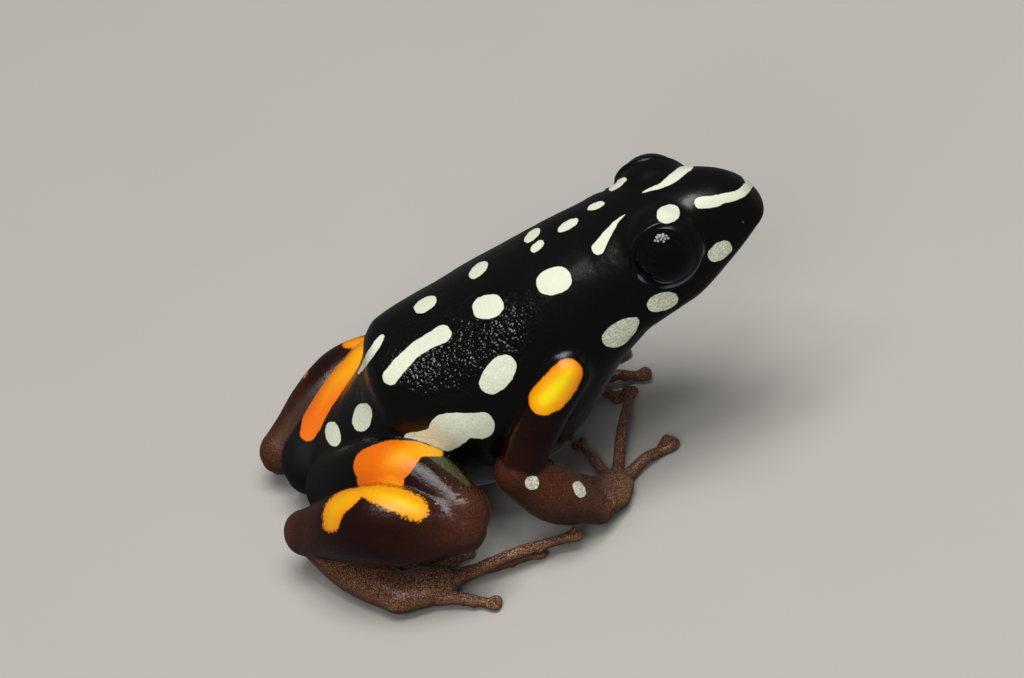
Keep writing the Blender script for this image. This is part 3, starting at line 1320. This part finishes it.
def skin_finish(sizes, colours):
    """Wet black skin with cream and orange marks, brown limbs and fine grains."""
    made = Finish("frog_skin")
    tone = made.attribute("tone")
    glitter = made.attribute("glitter")
    granular = made.attribute("granular")
    grain = made.grains(sizes.grain)
    fine = made.grains(sizes.grain * 0.6)
    tiny = made.grains(sizes.grain * 0.44)
    coarse = made.grains(sizes.grain * 1.9)
    cloud = made.noise(1.4, 3.0) - 0.5
    ragged = made.noise(0.10, 2.0, 0.7) - 0.5
    wander = made.noise(0.40, 1.0) - 0.5
    normal = made.node("ShaderNodeNewGeometry", {}, {}, "Normal")
    height = made.node("ShaderNodeSeparateXYZ", {}, [normal], "Z")

    cream = (made.attribute("cream") - 0.028 + ragged * 0.05 + wander * 0.08).step(-0.016, 0.016)
    lower_leg = tone.step(0.36, 0.46)
    dots = (grain - 0.40) * 0.24 * lower_leg
    orange = made.attribute("orange") + ragged * 0.07 + wander * 0.06 - dots
    orange = orange.step(-0.03 - lower_leg * 0.03, 0.03 + lower_leg * 0.06)
    lid = made.attribute("lid_line").step(-0.02, 0.02)
    green = (made.attribute("green") + wander * 0.06).step(-0.05, 0.06) * 0.75

    browns = [(0.0, colours.black), (0.20, colours.black), (0.42, colours.maroon), (0.60, colours.umber)]
    browns += [(0.80, colours.chestnut), (1.0, colours.fawn)]
    brown = made.node("ShaderNodeValToRGB", {"stops": browns}, [tone + cloud * 0.14], "Color")
    under = (0.30 - height).step(0.0, 0.9) * tone.step(0.25, 0.5) * 0.92
    brown = made.mix(under, brown, colours.wine)
    lit = (height * 0.75 + 0.45).clamp()
    crowd = cloud * 0.25 + tone.step(0.72, 0.92) * 0.07
    specks = (0.42 + crowd - tiny).step(0.0, 0.20) * tone.step(0.40, 1.0) * lit
    brown = made.mix(specks * 0.60, brown, colours.speck)
    yellow = (made.attribute("yellow") + cloud * 0.25 + ragged * 0.12).clamp()
    warm = made.mix(yellow.step(0.0, 0.5), colours.orange, colours.amber)
    warm = made.mix(yellow.step(0.45, 1.0), warm, colours.yellow)
    gaps = (fine.step(0.42, 0.64) * granular * 0.75).clamp()
    pale = made.mix(gaps, colours.cream, colours.cream_shade)
    base = made.mix(green, brown, colours.green)
    base = made.mix(orange, base, warm)
    base = made.mix(cream, base, pale)
    fold = made.attribute("fold").step(0.025, 0.09)
    base = made.mix(fold * 0.9, base, colours.black)
    base = made.mix(lid, base, colours.lid)

    marked = cream.math("MAXIMUM", orange)
    rough = 0.27 + tone * 0.05 + cloud * 0.08 + marked * 0.12 - glitter * 0.10 + made.attribute("hip") * 0.45
    glints = glitter * (1.0 - marked * 0.75)
    lumps = grain * (glints * 2.0 + granular * cream * 0.8 + tone * 0.55 + 0.10) + coarse * glints * 2.4
    skin_bump = made.bump(1.0 - lumps, sizes.grain_height)
    skin_bump = made.bump(fine * (0.25 + tone * 0.6), sizes.grain_height * 0.45, skin_bump)
    made.set(Base_Color=base, Roughness=rough, Normal=skin_bump, **WET)
    return made.material


def eye_finish(colours):
    """The black glossy eye with a faint glimmer in the iris."""
    made = Finish("frog_eye")
    ring = made.attribute("iris")
    fleck = made.noise(0.10, 3.0, 0.7).step(0.48, 0.72)
    base = made.mix(ring * fleck, colours.eye, colours.iris)
    made.set(Base_Color=base, Roughness=0.05 + ring * 0.02, **WET)
    return made.material


def eye_ball(side):
    """An eyeball in millimetres with the clear front bulging a little, and the iris marked on it."""
    work, look = bmesh.new(), eye_look(side)
    bmesh.ops.create_icosphere(work, subdivisions=6, radius=1.0)
    for vert in work.verts:
        toward = float(np.array(vert.co) @ look)
        bulge = CLEAR_BULGE * smooth_step(toward, *CLEAR_FRONT)
        bulge -= GROOVE_DEPTH * bell(toward - GROOVE_AT, GROOVE_WIDTH)
        vert.co = Vector(EYES[side] + np.array(vert.co) * EYE_RADIUS * (1.0 + bulge))
    mesh = finished_mesh(work, "eye")
    toward = (read_rows(mesh.vertices, "co", 3) - EYES[side]) / EYE_RADIUS @ look
    iris = smooth_step(toward, *IRIS_EDGE) * (1 - smooth_step(toward, *PUPIL_EDGE))
    set_attribute(mesh, "iris", iris)
    return mesh


class FROG_OT_skin(bpy.types.Operator):
    """Melt the frog's forms into one skin, press its details in and paint its marks"""

    bl_idname = "frog.skin"
    bl_label = "Build the skin"

    def execute(self, context):
        sizes, colours = context.scene.frog_sizes, context.scene.frog_colours
        skin, tones, kinds = melted(all_flesh(), sizes.skin_step)
        if skin.count < LEAST_POINTS:
            raise RuntimeError("the skin came out too coarse")
        skin.even_out(EVEN_FIRST)
        skin.fill_creases(sizes.crease_fill)
        skin.fill_folds(sizes.fold_fill)
        skin.even_out(EVEN_LAST)
        press_details(skin, sizes)
        normals = skin.normals()
        polygons = [tuple(face.vertices) for face in skin.mesh.polygons]
        tree = BVHTree.FromPolygons([Vector(v) for v in skin.points], polygons)
        marker = Marker(skin, normals, tree, kinds)
        cream, granular = marker.deepest(CREAM_MARKS, how_granular)
        orange, yellow = marker.deepest(ORANGE_MARKS, how_yellow)
        kept = {
            "tone": skin.spread(tones, BLEND_TONES),
            "fold": skin.folds(),
            "hip": skin.near_fold(*DULL_HIP),
            "cream": cream,
            "granular": skin.spread(granular, BLEND_GRAINS),
            "orange": orange,
            "yellow": skin.spread(yellow, BLEND_YELLOW),
            "glitter": marker.glitter(),
            "lid_line": lid_lines(skin.points),
            "green": marker.deepest(GREEN_MARKS, how_granular)[0],
        }
        for name, values in kept.items():
            set_attribute(skin.mesh, name, values)
        skin.mesh.materials.append(skin_finish(sizes, colours))
        limbs = [f"{name}_{word}" for word in ("left", "right") for name in (*LIMB_SIZES, "foot", "hand")]
        put_in_scene("frog_skin", skin.mesh, "skin", "torso", "head", *limbs)
        return {"FINISHED"}


class FROG_OT_eyes(bpy.types.Operator):
    """Make the two glossy eyes"""

    bl_idname = "frog.eyes"
    bl_label = "Build the eyes"

    def execute(self, context):
        finish = eye_finish(context.scene.frog_colours)
        for side, word in ((1, "left"), (-1, "right")):
            mesh = eye_ball(side)
            mesh.materials.append(finish)
            put_in_scene(f"eye_ball_{word}", mesh, "eye", f"eye_{word}")
        return {"FINISHED"}


def soft_light(name, toward, away, size, power):
    """A soft round light that shines on the frog from a direction."""
    light = bpy.data.lights.new(name, "AREA")
    light.shape = "DISK"
    light.size = size
    light.energy = power
    obj = bpy.data.objects.new(name, light)
    obj.location = Vector((TARGET - ORIGIN) * MM) + Vector(unit(toward)) * away
    obj.rotation_mode = "QUATERNION"
    obj.rotation_quaternion = Vector(unit(toward)).to_track_quat("Z", "Y")
    bpy.context.scene.collection.objects.link(obj)
    return obj


class FROG_OT_stage(bpy.types.Operator):
    """Make the plain floor, the soft lights and the camera"""

    bl_idname = "frog.stage"
    bl_label = "Set the stage"

    def execute(self, context):
        stage = context.scene.frog_stage
        work = bmesh.new()
        bmesh.ops.create_grid(work, x_segments=8, y_segments=8, size=FLOOR_HALF)
        mesh = finished_mesh(work, "floor")
        made = Finish("floor")
        shade = [part * 0.8 for part in stage.floor]
        tint = made.mix(made.noise(9.0, 3.0).step(0.3, 0.7) * 0.06, stage.floor, shade)
        made.set(Base_Color=tint, Roughness=0.75)
        mesh.materials.append(made.material)
        floor = bpy.data.objects.new("floor", mesh)
        floor.location.z = FLOOR_DROP
        floor.visible_glossy = False
        context.scene.collection.objects.link(floor)

        world = bpy.data.worlds.new("surroundings")
        world.use_nodes = True
        background = world.node_tree.nodes["Background"]
        background.inputs["Color"].default_value = (*stage.sky, 1.0)
        background.inputs["Strength"].default_value = stage.sky_strength
        context.scene.world = world
        context.scene.view_settings.view_transform = "Standard"

        key = unit(Sight.toward(*KEY_TOWARD))
        lamps = stage.key_lamps
        for lamp in range(lamps):
            out, turn = math.sqrt((lamp + 0.5) / lamps), LAMP_TURN * lamp
            out = out * stage.key_spread / 2 / KEY_AWAY
            away = (math.cos(turn) * Sight.right + math.sin(turn) * Sight.up) * out
            soft_light("main_light", key + away, KEY_AWAY, stage.key_size, stage.key_power / lamps)
        fill = soft_light("fill_light", Sight.toward(*FILL_TOWARD), FILL_AWAY, FILL_SIZE, stage.fill_power)
        fill.visible_glossy = False

        camera = bpy.data.objects.new("camera", bpy.data.cameras.new("camera"))
        turn = Matrix(np.stack([Sight.right, Sight.up, -Sight.ahead], 1).tolist())
        camera.matrix_world = Matrix.Translation(Vector((Sight.eye - ORIGIN) * MM)) @ turn.to_4x4()
        camera.data.sensor_width = SENSOR
        camera.data.lens = PIXELS_PER_MM * DISTANCE / PICTURE[0] * SENSOR
        camera.data.shift_x = -SHIFT[0] / PICTURE[0]
        camera.data.shift_y = SHIFT[1] / PICTURE[0]
        camera.data.clip_start = NEAREST
        camera.data.clip_end = FARTHEST
        context.scene.collection.objects.link(camera)
        context.scene.camera = camera
        return {"FINISHED"}


class FROG_PT_looks(bpy.types.Panel):
    """The frog's pieces and the values that a user may change"""

    bl_label = "Frog"
    bl_idname = "FROG_PT_looks"
    bl_space_type = "VIEW_3D"
    bl_region_type = "UI"
    bl_category = "Frog"

    def draw(self, context):
        for operator in OPERATORS:
            self.layout.operator(operator.bl_idname)
        for group in (context.scene.frog_sizes, context.scene.frog_colours, context.scene.frog_stage):
            box = self.layout.box()
            for name in group.__annotations__:
                box.prop(group, name)


GROUPS = {"frog_sizes": FrogSizes, "frog_colours": FrogColours, "frog_stage": FrogStage}
OPERATORS = (FROG_OT_skin, FROG_OT_eyes, FROG_OT_stage)


def register():
    """Add the groups, the operators and the panel."""
    for name, group in GROUPS.items():
        bpy.utils.register_class(group)
        setattr(bpy.types.Scene, name, bpy.props.PointerProperty(type=group))
    for operator in OPERATORS:
        bpy.utils.register_class(operator)
    bpy.utils.register_class(FROG_PT_looks)


def unregister():
    """Take them away again."""
    bpy.utils.unregister_class(FROG_PT_looks)
    for operator in reversed(OPERATORS):
        bpy.utils.unregister_class(operator)
    for name, group in GROUPS.items():
        delattr(bpy.types.Scene, name)
        bpy.utils.unregister_class(group)


def main():
    """Build everything in order."""
    register()
    bpy.ops.frog.skin()
    bpy.ops.frog.eyes()
    bpy.ops.frog.stage()


if __name__ == "__main__":
    main()
